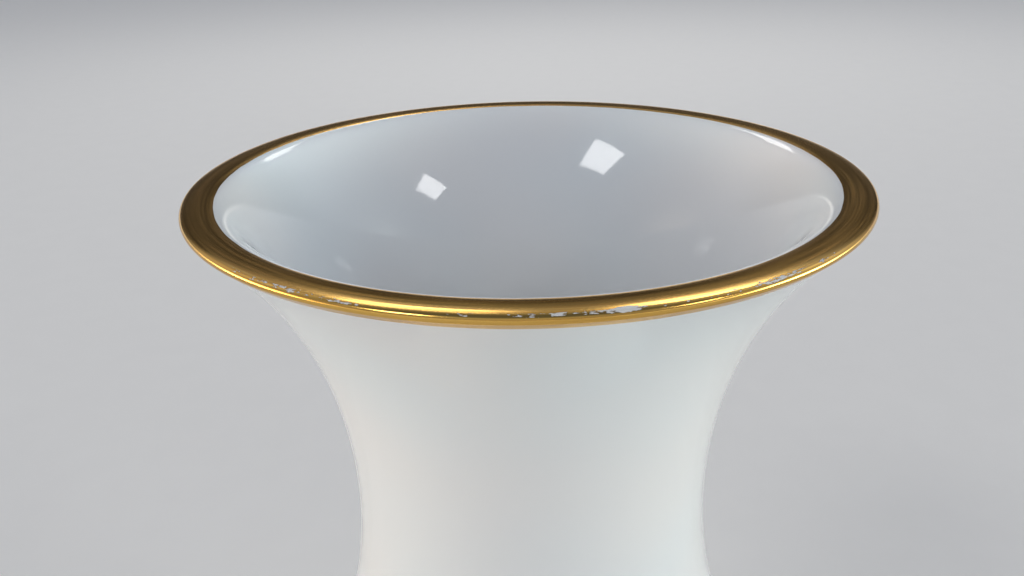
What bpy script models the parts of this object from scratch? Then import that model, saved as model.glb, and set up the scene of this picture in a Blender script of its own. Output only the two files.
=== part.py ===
"""A porcelain vase with a flaring mouth and a gilded lip. Metres, +Z up.

The vase is a baluster: a trumpet neck over a swelling belly on a low foot. A tall one
is not made in one go. The neck, the belly and the foot ring are formed by themselves
and luted end to end with slip while the clay is leather hard, then glazed and fired.
The gold round the lip is brushed on and fired last.

All the sections are turned from one line, the glazed skin of the vase. It is worked out
once, from the sizes below, and each section takes its own stretch of it. A changed size
moves every section that shares it.

The origin is the middle of the foot, where the vase stands.
"""

import math

import bpy
import numpy as np

# ---- Driving dimensions ---------------------------------------------------------------

HEIGHT = 0.3000                    # ground to the crest of the lip

MOUTH_RADIUS = 0.0650              # out to the widest circle of the lip
LIP_TILT = math.radians(12.0)      # where that edge hands over to the crown
CREST_INSET = 0.0028               # widest circle in to the crest
CREST_RISE = 0.00095               # widest circle up to the crest
FLARE_ANGLE = math.radians(41.5)   # underside of the lip, above the level
FLARE_REACH = 0.0092               # how far the flare holds that angle
MOUTH_ROUND = 0.0039               # how far the crown holds level, going in
MOUTH_DEPTH = 0.0070               # crest down to where the inside joins the bore
MOUTH_REACH = 0.0080               # how far up the bore's own direction holds

WAIST_RADIUS = 0.0393              # narrowest circle of the neck
WAIST_DROP = 0.0693                # crest down to the waist
WAIST_CURVE = 0.1360               # radius of its hollow, seen from the side

BELLY_RADIUS = 0.0750              # widest circle of the belly
BELLY_HEIGHT = 0.1060              # ground up to it
BELLY_CURVE = 0.0750               # radius of its swell, seen from the side

STEM_RADIUS = 0.0400               # where the belly ends on the foot
STEM_HEIGHT = 0.0150               # ground up to there
STEM_CURVE = 0.0300                # radius of the hollow there

FOOT_RADIUS = 0.0440               # out to the edge of the foot
FOOT_EDGE = 0.0045                 # height of that upright edge
FOOT_ROUND = 0.0010                # rounding of its two corners
FOOT_SWEEP = 0.0060                # how far the foot holds upright below the stem
FOOT_WIDTH = 0.0065                # width of the ring that touches the ground
FOOT_SLANT = 0.0030                # how far the ring's inner side leans in, going up

WALL = 0.0040                      # thickness of the neck and the belly
LIP_SWELL = 0.00265                # how much thicker the wall gets, up to the lip
SWELL_DROP = 0.0320                # crest down to where it starts to
FLOOR = 0.0060                     # thickness of the belly's floor
FLOOR_COVE = 0.0140                # hollow corner inside, between wall and floor

SHOULDER_DROP = 0.1180             # crest down to the seam between neck and belly
LUTING = 0.0003                    # layer of slip in each seam

LIP_CORE = 0.0001                  # rounding of the porcelain's edge under the gold
GOLD_SEAT = 0.0003                 # clearance between the gold and the porcelain
GOLD = 0.0004                      # skin of gold
GOLD_INSET = 0.00585               # gold reaches in from the widest circle this far
GOLD_UNDER = 0.0016                # and this far down the underside, past the edge

SEGMENTS = 48                      # flats round each turned section
FLARE_STEPS = 12                   # points down the flare
BODY_STEPS = 12                    # points down each curve of the belly
MOUTH_STEPS = 16                   # points from the crest into the mouth
LIP_STEPS = 8                      # points round the edge of the lip
COVE_STEPS = 6                     # points round the hollow corner by the floor
EDGE_STEPS = 4                     # points round a small edge
SHORTEST = 0.0003                  # points nearer than this to a cut are left out

# ---- Curves of the glazed skin --------------------------------------------------------
# A line is an array of rows (radius, height). Every line runs down the outside first, so
# that a turned section faces outwards.


def bezier(start, leave, arrive, end, steps):
    """Points of the cubic curve from start to end, drawn towards its two handles."""
    t = np.linspace(0.0, 1.0, steps)[:, None]
    s = 1.0 - t
    ends = s**3 * np.array(start) + t**3 * np.array(end)
    handles = 3 * s * s * t * np.array(leave) + 3 * s * t * t * np.array(arrive)
    return ends + handles


def arc(centre, radius, first, last, steps):
    """Points of a circle's arc. Angles are above the level, facing outwards."""
    a = np.linspace(first, last, steps)
    return np.stack([centre[0] + radius * np.cos(a), centre[1] + radius * np.sin(a)], 1)


def handle(sideways, curve):
    """Handle length that bends a curve to the radius curve at its upright end.

    sideways is how far the other handle lies to the side of that end.
    """
    return math.sqrt(2.0 / 3.0 * abs(sideways) * curve)


def upright_curve(upper, upper_curve, lower, lower_curve, steps):
    """Curve between two points, upright at both, with the radius asked for at each."""
    sideways = lower[0] - upper[0]
    fall = upper[1] - lower[1]
    top = handle(sideways, upper_curve)
    bottom = handle(sideways, lower_curve)
    fit = min(1.0, 0.95 * fall / (top + bottom))
    leave = (upper[0], upper[1] - top * fit)
    arrive = (lower[0], lower[1] + bottom * fit)
    return bezier(upper, leave, arrive, lower, steps)


def joined(*lines):
    """The lines one after another, with the points that they share kept once."""
    points = [lines[0]]
    for line in lines[1:]:
        points.append(line[1:] if np.allclose(line[0], points[-1][-1]) else line)
    return np.concatenate(points)


def heading(line):
    """The unit direction of a line at each of its points."""
    along = np.gradient(line, axis=0)
    return along / np.linalg.norm(along, axis=1)[:, None]


def outward(line):
    """The unit normal at each point of a line that runs down an outer side."""
    along = heading(line)
    return np.stack([-along[:, 1], along[:, 0]], 1)


def sunk(line, depth):
    """The line moved into the porcelain by depth."""
    return line - depth * outward(line)


def between(line, top, bottom):
    """The stretch of a falling line between two heights, cut exactly at both."""
    heights = line[::-1, 1]
    radii = line[::-1, 0]
    inside = line[(line[:, 1] < top - SHORTEST) & (line[:, 1] > bottom + SHORTEST)]
    first = (np.interp(top, heights, radii), top)
    last = (np.interp(bottom, heights, radii), bottom)
    return np.concatenate([[first], inside, [last]])


# ---- Places that the sections share ---------------------------------------------------

LIP_RADIUS = LIP_CORE + GOLD_SEAT + GOLD
EDGE_HEIGHT = HEIGHT - CREST_RISE
EDGE_CENTRE = (MOUTH_RADIUS - LIP_RADIUS, EDGE_HEIGHT)
CREST = (MOUTH_RADIUS - CREST_INSET, HEIGHT)
WAIST = (WAIST_RADIUS, HEIGHT - WAIST_DROP)
BELLY = (BELLY_RADIUS, BELLY_HEIGHT)
STEM = (STEM_RADIUS, STEM_HEIGHT)
SEAM = HEIGHT - SHOULDER_DROP


def lip_edge():
    """The rounded outer edge, from the crown down to the underside of the flare."""
    upper = math.pi / 2 - LIP_TILT
    lower = FLARE_ANGLE - math.pi / 2
    return arc(EDGE_CENTRE, LIP_RADIUS, upper, lower, LIP_STEPS)


def crown():
    """From the crest out and down to the rounded edge, level where it starts."""
    end = lip_edge()[0]
    reach = (end[0] - CREST[0]) / 3
    leave = (CREST[0] + reach, CREST[1])
    arrive = (end[0] - reach * math.cos(LIP_TILT), end[1] + reach * math.sin(LIP_TILT))
    return bezier(CREST, leave, arrive, end, EDGE_STEPS)


def flare():
    """The trumpet, from the rounded edge down to the waist."""
    start = lip_edge()[-1]
    down = np.array([-math.cos(FLARE_ANGLE), -math.sin(FLARE_ANGLE)])
    leave = start + FLARE_REACH * down
    rise = handle(leave[0] - WAIST[0], WAIST_CURVE)
    fit = min(1.0, (leave[1] - WAIST[1]) / rise)
    arrive = (WAIST[0], WAIST[1] + rise * fit)
    return bezier(start, leave, arrive, WAIST, FLARE_STEPS)


def outside():
    """The whole outer side, from the rounded edge down to the stem."""
    shoulder = upright_curve(WAIST, WAIST_CURVE, BELLY, BELLY_CURVE, BODY_STEPS)
    taper = upright_curve(BELLY, BELLY_CURVE, STEM, STEM_CURVE, BODY_STEPS)
    return joined(flare(), shoulder, taper)


def bore():
    """The inner side below the mouth: the outer side, one wall further in.

    The wall swells towards the lip, slowly at first.
    """
    skin = outside()
    risen = np.clip(1.0 - (HEIGHT - skin[:, 1]) / SWELL_DROP, 0.0, 1.0)
    return sunk(skin, (WALL + LIP_SWELL * risen**2)[:, None])


def mouth():
    """The inner side of the mouth, from the crest down to the bore."""
    wall = between(bore(), HEIGHT - MOUTH_DEPTH, BELLY_HEIGHT)
    leave = (CREST[0] - MOUTH_ROUND, CREST[1])
    arrive = wall[0] - MOUTH_REACH * heading(wall)[0]
    return bezier(CREST, leave, arrive, wall[0], MOUTH_STEPS)


# ---- Outlines of the sections ---------------------------------------------------------


def gilded_stretch():
    """The skin that the gold covers, from inside the mouth, over the lip and under."""
    inner = mouth()[::-1]
    start = MOUTH_RADIUS - GOLD_INSET
    start_point = (start, np.interp(start, inner[:, 0], inner[:, 1]))
    over = np.concatenate([[start_point], inner[inner[:, 0] > start + SHORTEST]])
    under = flare()[:2]
    under[1] = under[0] + GOLD_UNDER * heading(under)[0]
    return joined(over, crown(), lip_edge(), under)


def gold_outline():
    """The gold: its polished face, then back along its under face."""
    face = gilded_stretch()
    return joined(face, sunk(face, GOLD)[::-1])


def seat_of_gold():
    """The lip under the gold, a clearance further in, with a step at both ends."""
    face = gilded_stretch()
    along = heading(face)
    back = GOLD_SEAT * along[0]
    on = GOLD_SEAT * along[-1]
    seat = sunk(face, GOLD + GOLD_SEAT)
    seat[0] -= back
    seat[-1] += on
    return np.concatenate([[face[0] - back], seat, [face[-1] + on]])


def neck_outline():
    """The neck: lip, flare and waist outside, seam below, bore and mouth inside."""
    bottom = SEAM + LUTING
    seat = seat_of_gold()
    outer = between(outside(), seat[-1][1], bottom)[1:]
    inner = between(bore(), HEIGHT - MOUTH_DEPTH, bottom)
    throat = mouth()
    throat = throat[throat[:, 0] < seat[0][0] - SHORTEST]
    return joined(seat, outer, inner[::-1], throat[::-1])


def belly_outline():
    """The belly: seam, swell and taper outside, flat base, floor and swell inside."""
    base = STEM_HEIGHT + LUTING
    floor = base + FLOOR
    outer = between(outside(), SEAM, base)
    inner = between(bore(), SEAM, floor + FLOOR_COVE)
    wall_end = inner[-1]
    cove_reach = FLOOR_COVE / 2
    cove_end = (wall_end[0] - FLOOR_COVE, floor)
    leave = wall_end + cove_reach * heading(inner)[-1]
    arrive = (cove_end[0] + cove_reach, floor)
    cove = bezier(wall_end, leave, arrive, cove_end, COVE_STEPS)
    inside = joined(inner, cove, [cove_end, (0.0, floor)])
    return joined(inside[::-1], outer, [outer[-1], (0.0, base)])


def foot_outline():
    """The foot ring: stem, sweep and upright edge outside, ground, slanted inside."""
    edge_top = (FOOT_RADIUS, FOOT_EDGE - FOOT_ROUND)
    shoulder = (FOOT_RADIUS - FOOT_ROUND, FOOT_EDGE)
    sweep_leave = (STEM[0], STEM[1] - FOOT_SWEEP)
    sweep_arrive = (STEM[0] + (shoulder[0] - STEM[0]) / 3, FOOT_EDGE)
    sweep = bezier(STEM, sweep_leave, sweep_arrive, shoulder, 2 * EDGE_STEPS)
    over = arc((shoulder[0], edge_top[1]), FOOT_ROUND, math.pi / 2, 0.0, EDGE_STEPS)
    under = arc((shoulder[0], FOOT_ROUND), FOOT_ROUND, 0.0, -math.pi / 2, EDGE_STEPS)
    ground_end = FOOT_RADIUS - FOOT_WIDTH
    inside = [(ground_end, 0.0), (ground_end - FOOT_SLANT, STEM_HEIGHT)]
    return joined(sweep, over, under, inside)


# ---- Turning the outlines -------------------------------------------------------------


def material(name, colour, roughness, metallic):
    """A surface of one colour."""
    made = bpy.data.materials.new(name)
    made.use_nodes = True
    shader = made.node_tree.nodes["Principled BSDF"]
    shader.inputs["Base Color"].default_value = (*colour, 1.0)
    shader.inputs["Roughness"].default_value = roughness
    shader.inputs["Metallic"].default_value = metallic
    return made


def turned(name, outline, closed, finish, collection, parent):
    """A section turned from its outline, which ends on the axis or closes on itself."""
    count = len(outline)
    points = [(radius, 0.0, height) for radius, height in outline]
    edges = [(i, i + 1) for i in range(count - 1)]
    if closed:
        edges.append((count - 1, 0))
    mesh = bpy.data.meshes.new(name)
    mesh.from_pydata(points, edges, [])
    mesh.materials.append(finish)
    section = bpy.data.objects.new(name, mesh)
    section.parent = parent
    collection.objects.link(section)
    screw = section.modifiers.new("turned", "SCREW")
    screw.axis = "Z"
    screw.angle = 2 * math.pi
    screw.steps = SEGMENTS
    screw.render_steps = SEGMENTS
    screw.use_merge_vertices = True
    screw.merge_threshold = 1e-6
    screw.use_smooth_shade = True
    return section


def build():
    """Clears the scene's objects and makes the vase."""
    for old in list(bpy.data.objects):
        bpy.data.objects.remove(old)
    parts = bpy.data.collections.new("porcelain_vase")
    bpy.context.scene.collection.children.link(parts)
    stand = bpy.data.objects.new("vase_axis", None)
    parts.objects.link(stand)
    porcelain = material("glazed_porcelain", (0.80, 0.81, 0.79), 0.08, 0.0)
    bisque = material("foot_porcelain", (0.78, 0.77, 0.73), 0.25, 0.0)
    gold = material("fired_gold", (0.83, 0.56, 0.20), 0.20, 1.0)
    turned("foot_ring", foot_outline(), True, bisque, parts, stand)
    turned("belly", belly_outline(), False, porcelain, parts, stand)
    turned("neck", neck_outline(), True, porcelain, parts, stand)
    turned("rim_gilding", gold_outline(), True, gold, parts, stand)


build()
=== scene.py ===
# %% [markdown]
# # A porcelain vase with a gilded lip
#
# The vase is a turned form: one outline, swept round an upright axis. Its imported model
# gives the sizes. This file gives the looks: a fine, smooth skin in place of the coarse
# one, a glaze, a band of fired gold that handling has worn, and a small studio.
#
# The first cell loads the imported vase. Everything after it is in metres, in its frame.

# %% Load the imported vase
import math

import bpy
import numpy as np
from mathutils import Matrix, Vector


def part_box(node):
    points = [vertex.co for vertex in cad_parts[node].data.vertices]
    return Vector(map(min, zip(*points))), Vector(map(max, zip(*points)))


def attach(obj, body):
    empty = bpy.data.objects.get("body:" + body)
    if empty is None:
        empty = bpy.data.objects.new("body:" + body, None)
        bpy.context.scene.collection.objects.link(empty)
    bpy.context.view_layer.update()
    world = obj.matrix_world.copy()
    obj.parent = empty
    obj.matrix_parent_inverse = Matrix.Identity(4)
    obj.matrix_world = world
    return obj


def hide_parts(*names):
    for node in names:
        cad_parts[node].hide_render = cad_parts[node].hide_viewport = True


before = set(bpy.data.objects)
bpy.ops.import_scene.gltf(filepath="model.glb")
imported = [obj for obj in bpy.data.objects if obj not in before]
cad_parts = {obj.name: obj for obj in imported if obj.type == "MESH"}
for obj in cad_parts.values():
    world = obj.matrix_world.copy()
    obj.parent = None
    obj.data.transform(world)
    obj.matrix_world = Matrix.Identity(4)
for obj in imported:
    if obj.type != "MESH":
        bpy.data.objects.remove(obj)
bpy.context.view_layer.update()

BODY = "root"
print("sections:", sorted(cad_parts))

# %% [markdown]
# ## Sizes
#
# A potter notes a vase by its mouth, its belly, its foot and its height. Those can be
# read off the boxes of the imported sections. Nothing is typed twice this way, and the
# looks follow the model if one of its sizes changes. What a box can't tell, such as how
# sharply the waist bends, is named beside the curve that needs it.

# %% Sizes read from the sections
MM = 0.001
_, lip_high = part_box("rim_gilding")
_, belly_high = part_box("belly")
_, foot_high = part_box("foot_ring")

HEIGHT = lip_high.z
MOUTH_RADIUS = lip_high.x
SEAM = belly_high.z
BELLY_RADIUS = belly_high.x
STEM_HEIGHT = foot_high.z
FOOT_RADIUS = foot_high.x
print(f"height {HEIGHT / MM:.1f}, mouth {2 * MOUTH_RADIUS / MM:.1f} mm across")
print(f"belly {2 * BELLY_RADIUS / MM:.1f}, foot {2 * FOOT_RADIUS / MM:.1f} mm across")

# %% [markdown]
# ## Curves for an outline
#
# A turned pot is all in its outline. It could be drawn with dozens of points, but then
# each slip of the hand shows as a ring round the pot. Here it is a few Bezier curves and
# arcs instead, which are smooth by their nature. Every line is an array of points, and a
# point is a radius and a height.

# %% Bezier curves, arcs and joins
FINE = 500                         # points on each curve, before the rows are chosen


def bezier(start, leave, arrive, end, steps=FINE):
    """Points of a cubic curve: each is a mean of the two ends and the two handles,
    weighted by the four products of t and 1 - t that add up to one."""
    t = np.linspace(0.0, 1.0, steps)[:, None]
    s = 1.0 - t
    ends = s**3 * np.array(start) + t**3 * np.array(end)
    handles = 3 * s * s * t * np.array(leave) + 3 * s * t * t * np.array(arrive)
    return ends + handles


def arc(centre, radius, first, last, steps=FINE):
    """Points of a circle: its centre plus its radius times the cosine and the sine."""
    a = np.linspace(first, last, steps)
    return np.stack([centre[0] + radius * np.cos(a), centre[1] + radius * np.sin(a)], 1)


def joined(*lines):
    """The lines one after another, with the points that they share kept once."""
    return np.concatenate([lines[0]] + [line[1:] for line in lines[1:]])


def heading(line):
    """The unit direction of a line at each of its points."""
    step = np.gradient(line, axis=0)
    return step / np.linalg.norm(step, axis=1)[:, None]


def outward(line):
    """The unit normal of a line: its direction, turned by a quarter."""
    way = heading(line)
    return np.stack([-way[:, 1], way[:, 0]], 1)


def length(line):
    """How long a line is: its steps added up."""
    return float(np.linalg.norm(np.diff(line, axis=0), axis=1).sum())


print("a quarter circle of 1 is", round(length(arc((0, 0), 1, 0, math.pi / 2)), 4), "long")

# %% [markdown]
# ## The lip
#
# The lip of the real vase is nearly level on top, falls a little outwards and turns under
# with a small rounded edge. It could be one big round, like a bead. But a bead catches
# one thin highlight. The level top mirrors what is far away, and the edge mirrors what
# is overhead, and that sharp change is what makes the gold look like metal. So the lip
# is a short crown curve, which starts level at the crest, and a tight arc.

# %% The crest, the crown and the rounded edge
LIP_RADIUS = 0.8 * MM              # the rounded outer edge of the lip
LIP_TILT = math.radians(12.0)      # slope at which the crown hands over to that edge
CREST_INSET = 2.8 * MM             # widest circle in to the crest
CREST_RISE = 0.95 * MM             # widest circle up to the crest
FLARE_ANGLE = math.radians(41.5)   # underside of the lip, above the level

crest = np.array([MOUTH_RADIUS - CREST_INSET, HEIGHT])
edge_centre = (MOUTH_RADIUS - LIP_RADIUS, HEIGHT - CREST_RISE)
edge = arc(edge_centre, LIP_RADIUS, math.pi / 2 - LIP_TILT, FLARE_ANGLE - math.pi / 2)
reach = (edge[0, 0] - crest[0]) / 3
crown_end = edge[0] + reach * np.array([-math.cos(LIP_TILT), math.sin(LIP_TILT)])
crown = bezier(crest, (crest[0] + reach, crest[1]), crown_end, edge[0])
print(f"crown {length(crown) / MM:.2f} mm, edge {length(edge) / MM:.2f} mm")

# %% [markdown]
# ## The neck's flare and the belly's swell
#
# Below the lip the vase draws in like a trumpet, swells to its belly and draws in again
# above the foot. The curves meet where the side is upright: at the waist, the widest
# circle and the stem. Joining them there keeps the side smooth, but a reflection would
# still jump where two curves bend by different amounts. So each handle is worked out
# from the radius that the curve should have at its end. Both neighbours get the same
# radius, and a highlight runs across the join without a break.

# %% The outer side, from the lip down to the stem
FLARE_REACH = 9.2 * MM             # how far the flare holds the angle of the underside
WAIST_RADIUS = 39.3 * MM
WAIST_DROP = 69.3 * MM             # crest down to the waist
WAIST_CURVE = 136.0 * MM           # radius of its hollow, seen from the side
BELLY_HEIGHT = 106.0 * MM          # ground up to the widest circle
BELLY_CURVE = 75.0 * MM            # radius of its swell, seen from the side
STEM_RADIUS = 40.0 * MM            # where the belly ends on the foot
STEM_CURVE = 30.0 * MM
HANDLE_ROOM = 0.95                 # two handles take up no more of the fall than this


def handle(sideways, curve):
    """Handle length at an upright end: the root of two thirds of the sideways distance
    to the other handle, times the radius that the curve should have there."""
    return math.sqrt(2.0 / 3.0 * abs(sideways) * curve)


def upright_curve(upper, upper_curve, lower, lower_curve):
    """Curve between two places, upright at both, with the radius asked for at each."""
    sideways = lower[0] - upper[0]
    fall = upper[1] - lower[1]
    top = handle(sideways, upper_curve)
    bottom = handle(sideways, lower_curve)
    fit = min(1.0, HANDLE_ROOM * fall / (top + bottom))
    leave = (upper[0], upper[1] - top * fit)
    arrive = (lower[0], lower[1] + bottom * fit)
    return bezier(upper, leave, arrive, lower)


waist = (WAIST_RADIUS, HEIGHT - WAIST_DROP)
widest = (BELLY_RADIUS, BELLY_HEIGHT)
stem = (STEM_RADIUS, STEM_HEIGHT)
under_lip = np.array([-math.cos(FLARE_ANGLE), -math.sin(FLARE_ANGLE)])
flare_leave = edge[-1] + FLARE_REACH * under_lip
flare_rise = handle(flare_leave[0] - waist[0], WAIST_CURVE)
flare = bezier(edge[-1], flare_leave, (waist[0], waist[1] + flare_rise), waist)
shoulder = upright_curve(waist, WAIST_CURVE, widest, BELLY_CURVE)
taper = upright_curve(widest, BELLY_CURVE, stem, STEM_CURVE)
side = joined(flare, shoulder, taper)
print(f"outer side: {length(side) / MM:.0f} mm of outline")

# %% [markdown]
# ## The inside
#
# A slip-cast wall has one thickness nearly everywhere, because the plaster mould draws
# it from the outside. So the inside is the outer side moved in by one wall, and not a
# curve of its own. Only the mouth differs. The wall swells towards it, where the slip
# stood longest against the plaster, and the top rolls over into the neck in one soft
# turn. At the bottom the wall runs into the floor in a wide cove, as wet clay is left
# by a sponge.

# %% The inner side, from the crest down to the middle of the floor
MOUTH_ROUND = 3.9 * MM             # how far the top holds level, going in
MOUTH_DEPTH = 7.0 * MM             # crest down to where the mouth joins the wall
MOUTH_REACH = 8.0 * MM             # how far up the wall's own direction holds
WALL = 4.0 * MM
LIP_SWELL = 2.65 * MM              # how much thicker the wall gets, up to the lip
SWELL_DROP = 32.0 * MM             # crest down to where it starts to
FLOOR = 6.3 * MM                   # floor of the belly, above the top of the foot
FLOOR_COVE = 14.0 * MM             # radius of the cove, roughly

floor_height = STEM_HEIGHT + FLOOR
risen = np.clip(1 - (HEIGHT - side[:, 1]) / SWELL_DROP, 0, 1)
bore = side - (WALL + LIP_SWELL * risen**2)[:, None] * outward(side)
bore = bore[(bore[:, 1] < HEIGHT - MOUTH_DEPTH) & (bore[:, 1] > floor_height + FLOOR_COVE)]
mouth_arrive = bore[0] - MOUTH_REACH * heading(bore)[0]
mouth = bezier(crest, (crest[0] - MOUTH_ROUND, crest[1]), mouth_arrive, bore[0])
cove_end = (bore[-1, 0] - FLOOR_COVE, floor_height)
cove_leave = bore[-1] + FLOOR_COVE / 2 * heading(bore)[-1]
cove = bezier(bore[-1], cove_leave, (cove_end[0] + FLOOR_COVE / 2, floor_height), cove_end)
floor = np.linspace(cove_end, (0.0, floor_height), FINE)
inside = joined(mouth, bore, cove, floor)
print(f"inside: {(HEIGHT - floor_height) / MM:.0f} mm deep")

# %% [markdown]
# ## One skin, measured along its length
#
# The inner and the outer side are one line: up the inside, over the lip, and down the
# outside. Each point gets its distance along that line from the crest, minus inside and
# plus outside. Every section, and the gold, takes a stretch of this same line. So
# neighbours meet at the same place with the same slope, and the glaze shows no seam.

# %% The skin
DOUBLED = 1e-9                     # points closer than this, in metres, are one point

skin = joined(inside[::-1], crown, edge, side)
apart = np.linalg.norm(np.diff(skin, axis=0), axis=1) > DOUBLED
skin = skin[np.insert(apart, 0, True)]
steps = np.linalg.norm(np.diff(skin, axis=0), axis=1)
along = np.insert(np.cumsum(steps), 0, 0.0)
along -= along[np.argmax(skin[:, 1])]
skin_out = outward(skin)


def on_skin(s, depth=0.0):
    """Radius and height at distance s from the crest, and depth below the surface."""
    radius = np.interp(s, along, skin[:, 0]) - depth * np.interp(s, along, skin_out[:, 0])
    height = np.interp(s, along, skin[:, 1]) - depth * np.interp(s, along, skin_out[:, 1])
    return radius, height


def distance_at(stretch, column, value):
    """Distance along the skin at which a stretch has that radius (column 0) or height
    (column 1), which has to rise or fall all the way along the stretch."""
    order = np.argsort(skin[stretch, column], kind="stable")
    return float(np.interp(value, skin[stretch, column][order], along[stretch][order]))


seam_inside = distance_at(along < 0, 1, SEAM)
seam_outside = distance_at(along > 0, 1, SEAM)
print(f"seam at {seam_inside / MM:.1f} mm inside and {seam_outside / MM:.1f} mm outside")

# %% [markdown]
# ## Rows of faces
#
# A straight wall needs few rows of faces, and a bend needs many. Equal steps would
# either waste them or leave corners on the lip. So each stretch of the skin has a price:
# one row for every few degrees of turn, and one for every so many millimetres, whichever
# is dearer. Rows at equal steps of price go where the bends are. Next to a seam the rows
# get very thin, which gives the last row the same slope as the neighbour's first one.

# %% Choosing the rows
TALLEST_ROW = 1.6 * MM
LARGEST_TURN = math.radians(3.0)
SEAM_ROW = 0.05 * MM               # height of a row that touches a seam
SEAM_GROWTH = 0.3                  # further off, rows grow by this share of the distance
SAMPLES = 20000                    # places along a stretch where the price is worked out
SMOOTHING = 61                     # samples over which the turn is averaged


def rows(start, end, seams=(), tallest=TALLEST_ROW):
    """Distances along the skin at equal steps of price. The price of a length is the
    largest of: length over tallest row, turn over largest turn, length over the height
    that the nearest seam allows."""
    s = np.linspace(start, end, SAMPLES)
    radius, height = on_skin(s)
    slope = np.unwrap(np.arctan2(np.gradient(height, s), np.gradient(radius, s)))
    turn = np.abs(np.gradient(slope, s))
    turn = np.convolve(turn, np.ones(SMOOTHING) / SMOOTHING, mode="same")
    price = np.maximum(1.0 / tallest, turn / LARGEST_TURN)
    for seam in seams:
        price = np.maximum(price, 1.0 / (SEAM_ROW + SEAM_GROWTH * np.abs(s - seam)))
    spent = np.insert(np.cumsum((price[1:] + price[:-1]) / 2 * np.diff(s)), 0, 0.0)
    return np.interp(np.linspace(0.0, spent[-1], math.ceil(spent[-1]) + 1), spent, s)


print("rows on the neck:", len(rows(seam_inside, seam_outside)))

# %% [markdown]
# ## Turning an outline
#
# Blender's Screw modifier turns an outline, but gives the same outline at every angle.
# The edges of hand-painted gold wander, so here the outline may change as it goes round.
# The surface is a grid worked out as whole arrays: rows down the outline, and columns
# round the axis. An outline that closes on itself gives a ring. One that starts and ends
# beside the axis gives a solid, with a tiny flat cap over each pole.

# %% The turned surface
SEGMENTS = 256                     # columns round the porcelain
CORNER = math.radians(50.0)        # faces that meet more sharply than this show an edge
CAP = 0.3 * MM                     # radius of the flat cap on the axis


def angles(columns):
    """Equal angles all round, one for each column."""
    return np.linspace(0.0, 2 * math.pi, columns, endpoint=False)[None, :]


def all_round(values, columns=SEGMENTS):
    """The same outline at every angle."""
    return np.repeat(np.asarray(values)[:, None], columns, axis=1)


def turned(name, radius, height, finish, nodes, closed=True):
    """A surface whose point at row i and column j is radius[i, j] times the cosine and
    sine of the column's angle, at height[i, j]."""
    count, columns = radius.shape
    angle = angles(columns)
    points = np.stack([radius * np.cos(angle), radius * np.sin(angle), height], 2)
    row = np.arange(count if closed else count - 1)[:, None]
    column = np.arange(columns)[None, :]
    below = (row + 1) % count
    beside = (column + 1) % columns
    corners = [row * columns + column, below * columns + column,
               below * columns + beside, row * columns + beside]
    faces = np.stack(corners, 2).reshape(-1, 4).tolist()
    if not closed:
        faces.append(list(range(columns)))
        faces.append(list(range((count - 1) * columns, count * columns))[::-1])
    mesh = bpy.data.meshes.new(name)
    mesh.from_pydata(points.reshape(-1, 3).tolist(), [], faces)
    mesh.shade_smooth()
    mesh.set_sharp_from_angle(angle=CORNER)
    mesh.materials.append(finish)
    piece = bpy.data.objects.new(name, mesh)
    bpy.context.scene.collection.objects.link(piece)
    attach(piece, BODY)
    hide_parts(*nodes)
    print(f"{name}: {count} rows by {columns} columns")
    return piece


widest_column = 2 * math.pi * BELLY_RADIUS / SEGMENTS
print(f"columns at the belly are {widest_column / MM:.1f} mm wide")

# %% [markdown]
# ## Colours and nodes
#
# Colours are written as the hex values of a paint chart. Blender mixes light in linear
# numbers, so one function converts them. A second one starts a material, and a third one
# adds any shader node, with its settings and what goes into it, and gives back what comes
# out. That keeps each finish below short enough to read.

# %% Three helpers for every finish
IN_METRES = {"Distance": 1.0, "Strength": 1.0}     # makes Bump take a height in metres
SMOOTH = {"interpolation_type": "SMOOTHSTEP"}      # makes MapRange start and end gently


def colour(hex_code):
    """Linear colour of an sRGB hex code: each channel is divided by 12.92 when dark, and
    otherwise raised by 0.055, divided by 1.055 and raised to the power 2.4."""
    channels = np.array([int(hex_code[i:i + 2], 16) / 255 for i in (0, 2, 4)])
    lifted = ((channels + 0.055) / 1.055) ** 2.4
    linear = np.where(channels <= 0.04045, channels / 12.92, lifted)
    return (*linear.tolist(), 1.0)


def begun(name):
    """A new material: gives the material, its node tree and its shader."""
    made = bpy.data.materials.new(name)
    made.use_nodes = True
    return made, made.node_tree, made.node_tree.nodes["Principled BSDF"]


def add(tree, kind, inputs=(), **settings):
    """Adds a node and gives back its first output. Inputs are in the order of the
    node's own sockets, or by their names. Each is a value, or an output to link."""
    node = tree.nodes.new("ShaderNode" + kind)
    for key, value in settings.items():
        setattr(node, key, value)
    sockets = [socket for socket in node.inputs if socket.enabled]
    named = {socket.name: socket for socket in reversed(sockets)}
    pairs = inputs.items() if isinstance(inputs, dict) else enumerate(inputs)
    for key, value in pairs:
        socket = named[key] if isinstance(key, str) else sockets[key]
        if isinstance(value, bpy.types.NodeSocket):
            tree.links.new(value, socket)
        else:
            socket.default_value = value
    return next(socket for socket in node.outputs if socket.enabled)


print("mid grey 808080 is", round(colour("808080")[0], 3), "in linear light")

# %% [markdown]
# ## Glazed porcelain
#
# Porcelain is a white clay, fired at about 1300 degrees under a clear glass. It has two
# looks at once: a soft, even white from the body, and sharp reflections from the glass.
# It could be built from two shaders, but one Principled shader does the same, because
# its diffuse part lies under its gloss. Glass has an IOR of about 1.5.
#
# What makes it real is what isn't perfect. The glaze ran a little while it melted, so
# reflections waver over a few centimetres. It is bluer where it pooled. Here and there a
# grain of iron has burnt through the white as a tiny brown speck.

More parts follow.
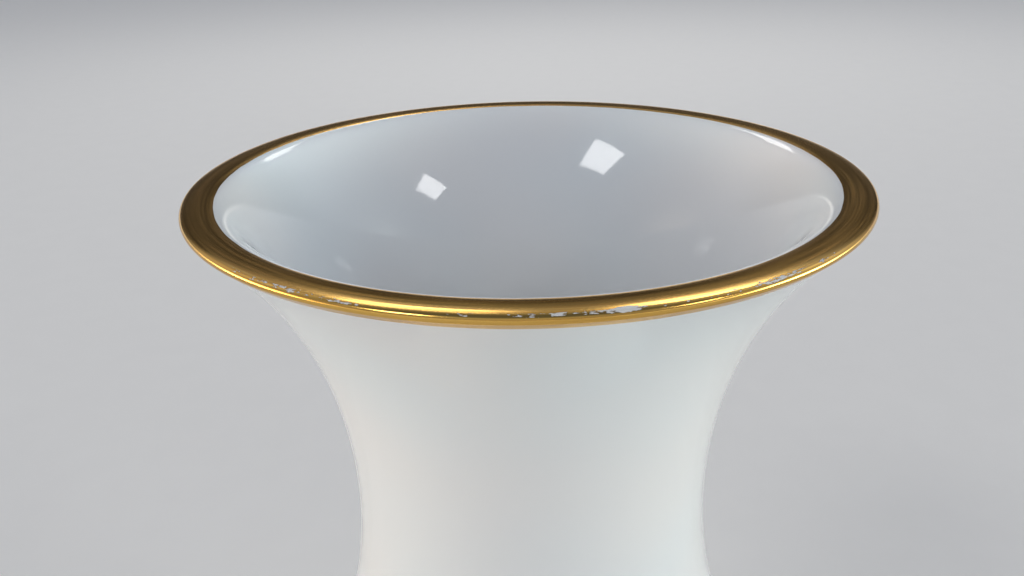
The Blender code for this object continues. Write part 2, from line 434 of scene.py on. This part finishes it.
# %% Glaze: the marks that every glazed surface here shares
WHITE = colour("EEEDEA")
POOLED = colour("E8EEEE")          # where the glaze lies thicker
POOL = 60.0 * MM                   # size of such a place
POOL_RANGE = (0.35, 0.7)           # noise at which it begins, and is full
GLAZE_WAVE = 28.0 * MM             # length of the slow waves in the glaze
GLAZE_WAVE_DEPTH = 0.006 * MM
GLAZE_SKIN = 1.6 * MM              # fine unevenness, like the peel of an orange
GLAZE_SKIN_DEPTH = 0.0012 * MM
SPECK_SPACING = 17.0 * MM
SPECK_RADIUS = 0.16 * MM
SPECK_SHARE = 0.3                  # share of the places that hold a speck
SPECK_STRENGTH = 0.75
IRON = colour("7A6650")


def glaze_colour(tree, place):
    """White, a little bluer where the glaze pooled, with rare specks of iron."""
    pool = add(tree, "TexNoise", {"Vector": place, "Scale": 1 / POOL, "Detail": 1.0})
    pool = add(tree, "MapRange", [pool, *POOL_RANGE], **SMOOTH)
    white = add(tree, "Mix", [pool, WHITE, POOLED], data_type="RGBA")
    reach = SPECK_RADIUS / SPECK_SPACING
    near = add(tree, "TexVoronoi", {"Vector": place, "Scale": 1 / SPECK_SPACING})
    chance = add(tree, "SeparateColor", [near.node.outputs["Color"]])
    chosen = add(tree, "Math", [SPECK_SHARE, chance], operation="GREATER_THAN")
    spot = add(tree, "MapRange", [near, reach / 2, reach, SPECK_STRENGTH, 0.0], **SMOOTH)
    speck = add(tree, "Math", [spot, chosen], operation="MULTIPLY")
    return add(tree, "Mix", [speck, white, IRON], data_type="RGBA")


def glaze_relief(tree, place):
    """Height of the glaze in metres: slow waves plus a fine skin."""
    wave = add(tree, "TexNoise", {"Vector": place, "Scale": 1 / GLAZE_WAVE, "Detail": 1.0})
    peel = add(tree, "TexNoise", {"Vector": place, "Scale": 1 / GLAZE_SKIN, "Detail": 2.0})
    peel = add(tree, "Math", [peel, GLAZE_SKIN_DEPTH], operation="MULTIPLY")
    return add(tree, "Math", [wave, GLAZE_WAVE_DEPTH, peel], operation="MULTIPLY_ADD")


# %% Material: glazed porcelain
GLAZE_IOR = 1.5
GLAZE_ROUGHNESS = (0.04, 0.08)     # clean, and where hands have left it duller
SMEAR = 9.0 * MM                   # size of such a place
SMEAR_RANGE = (0.3, 0.8)           # noise at which it begins, and is full


def glazed_porcelain():
    """White body under a clear glaze: gives a soft white with sharp, wavering gloss."""
    made, tree, shader = begun("clear_glazed_porcelain")
    place = add(tree, "TexCoord").node.outputs["Object"]
    tree.links.new(glaze_colour(tree, place), shader.inputs["Base Color"])
    relief = glaze_relief(tree, place)
    bump = add(tree, "Bump", {"Height": relief, **IN_METRES})
    tree.links.new(bump, shader.inputs["Normal"])
    smear = add(tree, "TexNoise", {"Vector": place, "Scale": 1 / SMEAR, "Detail": 3.0})
    rough = add(tree, "MapRange", [smear, *SMEAR_RANGE, *GLAZE_ROUGHNESS])
    tree.links.new(rough, shader.inputs["Roughness"])
    shader.inputs["IOR"].default_value = GLAZE_IOR
    return made


porcelain = glazed_porcelain()
print("made", porcelain.name)

# %% [markdown]
# ## The neck
#
# The neck is cast as a ring of its own and luted to the belly with slip. Its outline goes
# up the inside, over the lip, down the outside, and back along the seam.
#
# Gold is painted on after the glaze is fired, and is then fired again. It is thinner than
# a hair, but two surfaces in the same place flicker, so the film gets a real thickness.
# The porcelain is set down a few hundredths of a millimetre where the gold lies, and
# comes back up over a short ramp beside it.

# %% Where the gold lies, and the neck under it
GOLD_INSET = 5.85 * MM             # gold reaches in from the widest circle this far
GOLD_UNDER = 1.6 * MM              # and this far down the underside, past the edge
FILM = 0.02 * MM                   # thickness of the gold, thicker than life
BED = 0.03 * MM                    # how far the porcelain is set down under it
BED_RAMP = 0.45 * MM

on_mouth = (along <= 0) & (along > -length(mouth))
gold_inner = distance_at(on_mouth, 0, MOUTH_RADIUS - GOLD_INSET)
gold_outer = length(crown) + length(edge) + GOLD_UNDER
print(f"gold from {gold_inner / MM:.2f} to {gold_outer / MM:.2f} mm about the crest")

s = rows(seam_inside, seam_outside, seams=(seam_inside, seam_outside))
past = np.maximum(gold_inner - s, s - gold_outer)
radius, height = on_skin(s, BED * np.clip(1.0 - past / BED_RAMP, 0.0, 1.0))
turned("neck_porcelain", all_round(radius), all_round(height), porcelain,
       ["neck"])

# %% [markdown]
# ## The belly
#
# The belly is one casting with its floor. Its outline starts in the middle of the floor,
# climbs the inside to the seam, crosses the wall, comes down the outside to the stem and
# ends in the middle of the flat base. It wears the same glaze as the neck. The glaze was
# poured over the joined vase, so its waves and specks run across the seam: the material
# reads places in metres, and not on each piece by itself.

# %% The belly
BASE_ROWS = 24

s_in = rows(along[0] + CAP, seam_inside, seams=(seam_inside,))
s_out = rows(seam_outside, along[-1], seams=(seam_outside, along[-1]))
radius_in, height_in = on_skin(s_in)
radius_out, height_out = on_skin(s_out)
base = np.linspace((STEM_RADIUS, STEM_HEIGHT), (CAP, STEM_HEIGHT), BASE_ROWS)[1:]
radius = np.concatenate([radius_in, radius_out, base[:, 0]])
height = np.concatenate([height_in, height_out, base[:, 1]])
turned("belly_porcelain", all_round(radius), all_round(height), porcelain,
       ["belly"], closed=False)

# %% [markdown]
# ## The foot
#
# The foot ring lifts the vase, so that only a narrow rim touches the shelf. It spreads
# from the stem in a small sweep and ends in an upright edge. Glaze would weld a pot to
# the kiln shelf, so the potter wipes it off the rim. There the bare clay shows: matte,
# faintly sandy, and toasted where the glaze ends.
#
# The sharp corners of the plain model are rounded here, with one function for any
# corner. The material finds the bare rim by its height above the ground.

# %% Material: porcelain with a wiped rim
BISCUIT = colour("E9E3D6")
TOASTED = colour("D9B48A")
WIPED = 0.55 * MM                  # the glaze ends this high above the ground
WIPED_WANDER = 0.35 * MM           # and wanders by about this much,
WANDER_LENGTH = 6.0 * MM           # once in about this length
GLAZE_END = 0.06 * MM              # over which the glaze thins out to nothing
TOAST_WIDTH = 0.5 * MM             # the clay is toasted this far below it
TOAST_STRENGTH = 0.5
RIM_ROUGHNESS = (0.6, 0.06)        # of the bare clay and of the glaze
SAND = 0.25 * MM                   # grain of the bare clay, coarser than it is, to show
SAND_DEPTH = 0.01 * MM


def foot_porcelain():
    """Glazed above and bare at the rim: gives a matte ring that grips the shelf."""
    made, tree, shader = begun("wiped_porcelain")
    place = add(tree, "TexCoord").node.outputs["Object"]
    level = add(tree, "SeparateXYZ", [place]).node.outputs["Z"]
    stray = add(tree, "TexNoise", {"Vector": place, "Scale": 1 / WANDER_LENGTH,
                                   "Detail": 3.0})
    level = add(tree, "Math", [stray, -WIPED_WANDER, level], operation="MULTIPLY_ADD")
    limit = WIPED - WIPED_WANDER / 2
    glazed = add(tree, "MapRange", [level, limit, limit + GLAZE_END])
    toast = add(tree, "MapRange", [level, limit - TOAST_WIDTH, limit, 0.0, TOAST_STRENGTH])
    clay = add(tree, "Mix", [toast, BISCUIT, TOASTED], data_type="RGBA")
    white = glaze_colour(tree, place)
    base = add(tree, "Mix", [glazed, clay, white], data_type="RGBA")
    tree.links.new(base, shader.inputs["Base Color"])
    rough = add(tree, "MapRange", [glazed, 0.0, 1.0, *RIM_ROUGHNESS])
    tree.links.new(rough, shader.inputs["Roughness"])
    sand = add(tree, "TexNoise", {"Vector": place, "Scale": 1 / SAND, "Detail": 2.0})
    sand = add(tree, "Math", [sand, SAND_DEPTH], operation="MULTIPLY")
    relief = add(tree, "Mix", [glazed, sand, glaze_relief(tree, place)])
    bump = add(tree, "Bump", {"Height": relief, **IN_METRES})
    tree.links.new(bump, shader.inputs["Normal"])
    shader.inputs["IOR"].default_value = GLAZE_IOR
    return made


wiped_porcelain = foot_porcelain()
print("made", wiped_porcelain.name)

# %% The foot ring
FOOT_EDGE = 4.5 * MM               # height of the upright edge
FOOT_ROUND = 1.0 * MM              # rounding of the corners
FOOT_SWEEP = 6.0 * MM              # how far the foot holds upright below the stem
FOOT_WIDTH = 6.5 * MM              # width of the rim that touches the ground
FOOT_SLANT = 3.0 * MM              # how far the inner side leans in, going up
SLIP_FILLET = 2.5 * MM             # slip smoothed into the corner under the belly
QUARTER_HANDLE = 0.5523            # handle of a Bezier curve that follows a circle
CORNER_POINTS = 13
SWEEP_POINTS = 40


def rounded(before, corner, after, size):
    """A corner cut back by size on both sides and bridged by a curve, whose handles
    reach towards the corner as those of a quarter circle do."""
    corner = np.array(corner)
    back = np.array(before) - corner
    on = np.array(after) - corner
    start = corner + size * back / np.linalg.norm(back)
    end = corner + size * on / np.linalg.norm(on)
    leave = start + QUARTER_HANDLE * (corner - start)
    arrive = end + QUARTER_HANDLE * (corner - end)
    return bezier(start, leave, arrive, end, CORNER_POINTS)


foot_shoulder = (FOOT_RADIUS - FOOT_ROUND, FOOT_EDGE)
sweep_leave = (STEM_RADIUS, STEM_HEIGHT - FOOT_SWEEP)
sweep_arrive = (STEM_RADIUS + (foot_shoulder[0] - STEM_RADIUS) / 3, FOOT_EDGE)
sweep = bezier(stem, sweep_leave, sweep_arrive, foot_shoulder, SWEEP_POINTS)
outer_foot = (FOOT_RADIUS, 0.0)
inner_foot = (FOOT_RADIUS - FOOT_WIDTH, 0.0)
inner_top = (inner_foot[0] - FOOT_SLANT, STEM_HEIGHT)
edge_top = rounded(foot_shoulder, (FOOT_RADIUS, FOOT_EDGE), outer_foot, FOOT_ROUND)
edge_bottom = rounded((FOOT_RADIUS, FOOT_EDGE), outer_foot, inner_foot, FOOT_ROUND)
inner_bottom = rounded(outer_foot, inner_foot, inner_top, FOOT_ROUND)
fillet = rounded(inner_foot, inner_top, (0.0, STEM_HEIGHT), SLIP_FILLET)
outline = np.concatenate([sweep, edge_top[1:], edge_bottom, inner_bottom, fillet])
turned("foot_porcelain", all_round(outline[:, 0]), all_round(outline[:, 1]),
       wiped_porcelain, ["foot_ring"])

# %% [markdown]
# ## Fired gold
#
# Liquid gold is painted on with a soft brush while the vase turns on a banding wheel, and
# comes out of the kiln already bright. It is a mirror with fine streaks along the band,
# a little browner where the brush left less. Hands and dusters wear it away first where
# the lip turns over, so the white glaze shows through in small chips with burnt edges.
#
# A picture of wear could be wrapped round the lip, but it would stretch. Instead each
# point of the mesh carries its own place on the band: round the vase in two numbers, and
# across the band in a third, all in metres. Patterns on that place can be long one way
# and short the other, and they close without a seam.

# %% Gold: the streaks of the brush
GOLD_COLOUR = colour("E5B65E")
THIN_GOLD = colour("B87C2E")       # browner where the brush left less
BRUSH_LENGTH = 26.0 * MM
BRUSH_WIDTH = 0.4 * MM             # a hair's streak is finer, and wouldn't show
BRUSH_DEPTH = 0.0012 * MM
THIN_RANGE = (0.45, 0.75, 0.0, 0.6)        # noise, and share of the thin gold at each


def stretched_noise(tree, band, length_round, width_across, detail, ragged=0.5):
    """Noise whose lumps are so long round the vase and so wide across the band."""
    scale = (1 / length_round, 1 / length_round, 1 / width_across)
    place = add(tree, "Mapping", {"Vector": band, "Scale": scale})
    return add(tree, "TexNoise", {"Vector": place, "Scale": 1.0, "Detail": detail,
                                  "Roughness": ragged})


# %% Gold: where it is worn away
WORN_FROM = 1.5 * MM               # wear starts this far outside the crest
WORN_MOST = (2.0 * MM, 2.5 * MM)   # is worst between these
WORN_TO = 2.9 * MM                 # and ends here
PATCH = 14.0 * MM                  # worn and sound stretches follow each other like this
PATCH_WIDTH = 1.0                  # far wider than the band, so that each spans it
PATCH_RANGE = (0.34, 0.58)         # noise at which a worn stretch begins, and is full
CHIP_LENGTH = 1.1 * MM             # lumps of the noise that the chips are cut from
CHIP_WIDTH = 0.36 * MM
RAGGED = 0.62                      # share of the finer lumps in that noise
SOUND = 0.80                       # noise above this is a chip even on sound gold
WEAR = 0.32                        # the worst wear brings that down by this much
HANDLED = (-0.62 * MOUTH_RADIUS, -0.76 * MOUTH_RADIUS)   # y where touch begins, is full
CHIP_EDGE = 0.024                  # step of noise over which gold ends
BIG_CHIPS = [                      # angle round the vase, place across, length, width
    (math.radians(-86.4), 2.20 * MM, 3.6 * MM, 1.5 * MM),
    (math.radians(-78.4), 2.00 * MM, 4.2 * MM, 2.2 * MM),
]
BIG_CHIP = 0.42                    # so much noise is added in the middle of a big chip


def chip(tree, band, angle, across, length_round, width_across):
    """1 in the middle of a chip and 0 from its rim on: 1 less the distance, counted in
    half lengths round the vase and half widths across the band."""
    centre = (MOUTH_RADIUS * math.cos(angle), MOUTH_RADIUS * math.sin(angle), across)
    half = (MOUTH_RADIUS, length_round / 2, width_across / 2)
    place = add(tree, "Mapping", {"Vector": band, "Location": centre,
                                  "Rotation": (0.0, 0.0, angle), "Scale": half},
                vector_type="TEXTURE")
    far = add(tree, "VectorMath", [place], operation="LENGTH").node.outputs["Value"]
    return add(tree, "Math", [1.0, far], operation="SUBTRACT", use_clamp=True)


def exposure(tree, band):
    """How far the wear has gone: gold is left where this is below 0."""
    across = add(tree, "SeparateXYZ", [band]).node.outputs["Z"]
    start = add(tree, "MapRange", [across, WORN_FROM, WORN_MOST[0]])
    end = add(tree, "MapRange", [across, WORN_MOST[1], WORN_TO, 1.0, 0.0])
    likely = add(tree, "Math", [start, end], operation="MULTIPLY")
    patch = stretched_noise(tree, band, PATCH, PATCH_WIDTH, 2.0)
    patch = add(tree, "MapRange", [patch, *PATCH_RANGE])
    toward_front = add(tree, "SeparateXYZ", [band]).node.outputs["Y"]
    handled = add(tree, "MapRange", [toward_front, *HANDLED])
    rubbed = add(tree, "Math", [patch, handled], operation="MULTIPLY")
    likely = add(tree, "Math", [likely, rubbed], operation="MULTIPLY")
    grain = stretched_noise(tree, band, CHIP_LENGTH, CHIP_WIDTH, 6.0, RAGGED)
    gone = add(tree, "Math", [grain, -SOUND], operation="ADD")
    gone = add(tree, "Math", [likely, WEAR, gone], operation="MULTIPLY_ADD")
    for angle, place, length_round, width_across in BIG_CHIPS:
        big = chip(tree, band, angle, place, length_round, width_across)
        gone = add(tree, "Math", [big, BIG_CHIP, gone], operation="MULTIPLY_ADD")
    return gone


# %% Material: fired gold
BARE = colour("DDDBD6")            # glaze that was under the gold
BURNT = colour("3A2211")           # the gold's broken edge
BRUSHED = (0.3, 0.7, 0.12, 0.24)   # noise of the streaks, and the roughness at each
BARE_ROUGHNESS = 0.3
CHIP_DEPTH = 0.01 * MM


def fired_gold():
    """Bright metal with brush streaks, chipped through to the white glaze."""
    made, tree, shader = begun("brushed_fired_gold")
    band = add(tree, "Attribute", attribute_name="band").node.outputs["Vector"]
    streak = stretched_noise(tree, band, BRUSH_LENGTH, BRUSH_WIDTH, 3.0)
    thin = add(tree, "MapRange", [streak, *THIN_RANGE])
    gold = add(tree, "Mix", [thin, GOLD_COLOUR, THIN_GOLD], data_type="RGBA")
    gone = exposure(tree, band)
    burnt = add(tree, "MapRange", [gone, -CHIP_EDGE, 0.0])
    bare = add(tree, "MapRange", [gone, 0.0, CHIP_EDGE])
    edged = add(tree, "Mix", [burnt, gold, BURNT], data_type="RGBA")
    base = add(tree, "Mix", [bare, edged, BARE], data_type="RGBA")
    tree.links.new(base, shader.inputs["Base Color"])
    metal = add(tree, "MapRange", [burnt, 0.0, 1.0, 1.0, 0.0])
    tree.links.new(metal, shader.inputs["Metallic"])
    rough = add(tree, "MapRange", [streak, *BRUSHED])
    rough = add(tree, "Mix", [bare, rough, BARE_ROUGHNESS])
    tree.links.new(rough, shader.inputs["Roughness"])
    relief = add(tree, "Math", [streak, BRUSH_DEPTH], operation="MULTIPLY")
    relief = add(tree, "Math", [bare, -CHIP_DEPTH, relief], operation="MULTIPLY_ADD")
    bump = add(tree, "Bump", {"Height": relief, **IN_METRES})
    tree.links.new(bump, shader.inputs["Normal"])
    return made


gold_finish = fired_gold()
print("made", gold_finish.name)

# %% [markdown]
# ## The gilded band
#
# The band is a film that follows the skin, from inside the mouth, over the crest and the
# edge, to a little under the lip. A painter's hand gives its two edges a slight wander,
# which a plain turned shape can't have. So the outline's ends move in and out with the
# angle, by a sum of gentle waves, and the rows between them spread evenly.

# %% The band of gold
GOLD_COLUMNS = 512
GOLD_ROW = 0.35 * MM
INNER_WANDER = 0.09 * MM           # how far the painted edges stray
OUTER_WANDER = 0.07 * MM
WAVES = np.arange(3, 64)[:, None]  # waves that fit round the vase
WAVE_FALL = 0.7                    # their number to this power lowers the short ones
BACK_STRIDE = 3                    # the hidden side of the film has a third of the rows


def wander(depth, seed):
    """How far an edge strays at each column: sine waves with random phases, each lower
    the shorter it is, scaled so that the largest stray is depth."""
    chance = np.random.default_rng(seed)
    phase = chance.uniform(0.0, 2 * math.pi, WAVES.shape)
    waves = np.sin(WAVES * angles(GOLD_COLUMNS) + phase) / WAVES**WAVE_FALL
    strays = waves.sum(axis=0)
    return depth * strays / np.abs(strays).max()


gold_rows = rows(gold_inner, gold_outer, tallest=GOLD_ROW)
share = (gold_rows - gold_inner) / (gold_outer - gold_inner)
first = gold_inner + wander(INNER_WANDER, seed=3)
last = gold_outer + wander(OUTER_WANDER, seed=8)
across = first + share[:, None] * (last - first)
back = across[::-BACK_STRIDE]
face_radius, face_height = on_skin(across)
back_radius, back_height = on_skin(back, FILM)
gilding = turned("gilding", np.concatenate([face_radius, back_radius]),
                 np.concatenate([face_height, back_height]), gold_finish,
                 ["rim_gilding"])

angle = angles(GOLD_COLUMNS)
places = np.broadcast_arrays(MOUTH_RADIUS * np.cos(angle), MOUTH_RADIUS * np.sin(angle),
                             np.concatenate([across, back]))
band = gilding.data.attributes.new("band", "FLOAT_VECTOR", "POINT")
band.data.foreach_set("vector", np.stack(places, 2).ravel())
print(f"the film is {FILM / MM:.2f} mm thick")

# %% [markdown]
# ## The studio
#
# Gloss shows its surroundings, so the studio is half of the finish. Gold shows little
# else: its level top mirrors what stands behind the vase, and its rolled edge what is
# overhead and at the sides. A dark screen behind the vase gives the top its depth, and a
# soft glow on each side of the screen lights the crown before it turns down. The rest of
# the room is grey, with a dimmer ceiling. A long low window on each side, warmer on the
# left and cooler on the right, rounds the white neck.
#
# Lamps could do all of that, but their edges would show in the glaze. A world that
# changes slowly with direction has no edges. Only four square ceiling panels are lamps.
# The glaze inside the mouth mirrors the two in front of the vase, and the crown of the
# gold mirrors the two behind it.

# %% The world
HORIZON = colour("FFFCF6")         # all round, at the level
BACKDROP = colour("3C3A39")        # a dark screen behind the vase
ROOM = colour("959AA7")            # all round, above the level
CEILING = colour("606A80")
LEVEL_END = (3, 8)                 # degrees up, from the horizon's tone to the room's
OVERHEAD = (42, 62)                # degrees up, from the room's tone to the ceiling's
SCREEN_TOP = (28, 25)              # degrees up, from above the screen to on it
SCREEN_SIDES = (0.45, 0.80)        # the same for its sides, by the direction's share of +Y
WINDOWS = [                        # azimuth and elevation, focus, strength, tint
    (-92.0, -16.0, 24.0, 56.0, colour("FFEED8")),      # two long low windows, of which
    (94.0, -16.0, 24.0, 60.0, colour("F6FFF8")),       # the floor leaves the upper edge
    (-54.0, 36.0, 16.0, 0.5, colour("FFF8EC")),        # a glow behind the vase, above
    (56.0, 39.0, 16.0, 0.8, colour("F4FAFF")),         # each side of the screen
    (180.0, 32.0, 12.0, 0.2, colour("F2F7FF")),        # and a faint one in front of it
]


def sine(degrees):
    """Height of a direction at that many degrees above the level."""
    return math.sin(math.radians(degrees))


def window(tree, toward, azimuth, elevation, focus, strength, tint):
    """Light from a soft place in the sky: strength times the cosine of the angle to its
    middle, raised to the power focus. Azimuth runs from +Y towards +X, in degrees."""
    a, e = math.radians(azimuth), math.radians(elevation)
    middle = (math.sin(a) * math.cos(e), math.cos(a) * math.cos(e), math.sin(e))
    cosine = add(tree, "VectorMath", [toward, middle], operation="DOT_PRODUCT")
    cosine = add(tree, "Math", [cosine.node.outputs["Value"], 0.0], operation="MAXIMUM")
    amount = add(tree, "Math", [cosine, focus], operation="POWER")
    amount = add(tree, "Math", [amount, strength], operation="MULTIPLY")
    return add(tree, "Mix", [amount, (0, 0, 0, 1), tint], data_type="RGBA",
               clamp_factor=False)


def studio_world():
    """Radiance by direction: pale at the level, grey above it and dimmer overhead, plus
    the windows. The dark screen then hides what is behind the vase."""
    world = bpy.data.worlds.new("studio")
    bpy.context.scene.world = world
    world.use_nodes = True
    tree = world.node_tree
    toward = add(tree, "TexCoord").node.outputs["Generated"]
    parts = add(tree, "SeparateXYZ", [toward]).node
    rise = parts.outputs["Z"]
    overhead = add(tree, "MapRange", [rise, *map(sine, OVERHEAD)], **SMOOTH)
    tone = add(tree, "Mix", [overhead, ROOM, CEILING], data_type="RGBA")
    lift = add(tree, "MapRange", [rise, *map(sine, LEVEL_END)], **SMOOTH)
    tone = add(tree, "Mix", [lift, HORIZON, tone], data_type="RGBA")
    for place in WINDOWS:
        light = window(tree, toward, *place)
        tone = add(tree, "Mix", [1.0, tone, light], data_type="RGBA", blend_type="ADD")
    ahead = add(tree, "MapRange", [parts.outputs["Y"], *SCREEN_SIDES], **SMOOTH)
    below_top = add(tree, "MapRange", [rise, *map(sine, SCREEN_TOP)], **SMOOTH)
    screen = add(tree, "Math", [ahead, below_top], operation="MULTIPLY")
    screen = add(tree, "Math", [screen, lift], operation="MULTIPLY")
    tone = add(tree, "Mix", [screen, tone, BACKDROP], data_type="RGBA")
    tree.links.new(tone, tree.nodes["Background"].inputs["Color"])


studio_world()
print("made the world")

# %% The ceiling panels
PANEL = 0.60                       # side of a square panel
PANEL_HEIGHT = 1.83
PANELS = [                         # place, turn in degrees, power
    (-1.26, -1.27, -6.5, 11.0),    # two in front of the vase
    (2.15, -1.42, -2.8, 11.0),
    (-0.41, 1.92, -5.0, 5.0),      # two behind it, weaker, to keep the floor even
    (0.64, 1.85, -5.0, 5.0),
]


def ceiling_panel(x, y, turn, power):
    """A square lamp that faces straight down."""
    lamp = bpy.data.lights.new("ceiling_panel", "AREA")
    lamp.shape = "SQUARE"
    lamp.size = PANEL
    lamp.energy = power
    holder = bpy.data.objects.new("ceiling_panel", lamp)
    holder.location = (x, y, PANEL_HEIGHT)
    holder.rotation_euler.z = math.radians(turn)
    bpy.context.scene.collection.objects.link(holder)


for place in PANELS:
    ceiling_panel(*place)
print(len(PANELS), "ceiling panels")

# %% The floor
FLOOR_REACH = 12.0                 # from the vase to each side
FIBRE = 30.0 * MM                  # size of the cloudy places in the sheet
FIBRE_SHADE = 0.97
PAPER_ROUGHNESS = 0.9
PAPER_GLOSS = 0.2
FLOOR_COLOUR = colour("F9F6EF")


def pale_floor():
    """A matte sheet that the vase stands on, wide enough to run to the horizon."""
    made, tree, shader = begun("matte_paper")
    place = add(tree, "TexCoord").node.outputs["Object"]
    fibre = add(tree, "TexNoise", {"Vector": place, "Scale": 1 / FIBRE, "Detail": 4.0})
    darker = tuple(FIBRE_SHADE * part for part in FLOOR_COLOUR[:3]) + (1.0,)
    base = add(tree, "Mix", [fibre, darker, FLOOR_COLOUR], data_type="RGBA")
    tree.links.new(base, shader.inputs["Base Color"])
    shader.inputs["Roughness"].default_value = PAPER_ROUGHNESS
    shader.inputs["Specular IOR Level"].default_value = PAPER_GLOSS
    mesh = bpy.data.meshes.new("floor")
    r = FLOOR_REACH
    mesh.from_pydata([(-r, -r, 0), (r, -r, 0), (r, r, 0), (-r, r, 0)], [], [(0, 1, 2, 3)])
    mesh.materials.append(made)
    sheet = bpy.data.objects.new("floor", mesh)
    bpy.context.scene.collection.objects.link(sheet)


pale_floor()
print(f"floor {2 * FLOOR_REACH:.0f} m wide")

# %% [markdown]
# ## The camera
#
# The camera is close, a hand's width from the lip and a little above it, with a wide
# lens. Being close is what makes the near lip look wide and the neck fall away.

# %% The camera
LENS = 29.99                       # focal length in mm, on a sensor 36 mm wide
CAMERA_BACK = 163.1 * MM           # from the vase's axis
CAMERA_ABOVE = 49.4 * MM           # above the widest circle of the lip
YAW = math.radians(-1.15)          # aim to the right of straight ahead
PITCH = math.radians(24.39)        # aim below the level
ROLL = math.radians(-1.43)
NEAREST = 10.0 * MM                # nothing closer than this is drawn

forward = Vector((math.sin(YAW) * math.cos(PITCH), math.cos(YAW) * math.cos(PITCH),
                  -math.sin(PITCH)))
level = Vector((math.cos(YAW), -math.sin(YAW), 0.0))
upright = level.cross(forward)
right = level * math.cos(ROLL) + upright * math.sin(ROLL)
up = upright * math.cos(ROLL) - level * math.sin(ROLL)
eye = Vector((0.0, -CAMERA_BACK, HEIGHT - CREST_RISE + CAMERA_ABOVE))

lens = bpy.data.cameras.new("camera")
lens.lens = LENS
lens.clip_start = NEAREST
camera = bpy.data.objects.new("camera", lens)
camera.matrix_world = Matrix((right, up, -forward)).transposed().to_4x4()
camera.location = eye
bpy.context.scene.collection.objects.link(camera)
bpy.context.scene.camera = camera
bpy.context.scene.view_settings.view_transform = "Standard"
print("camera at", [round(value, 4) for value in eye])
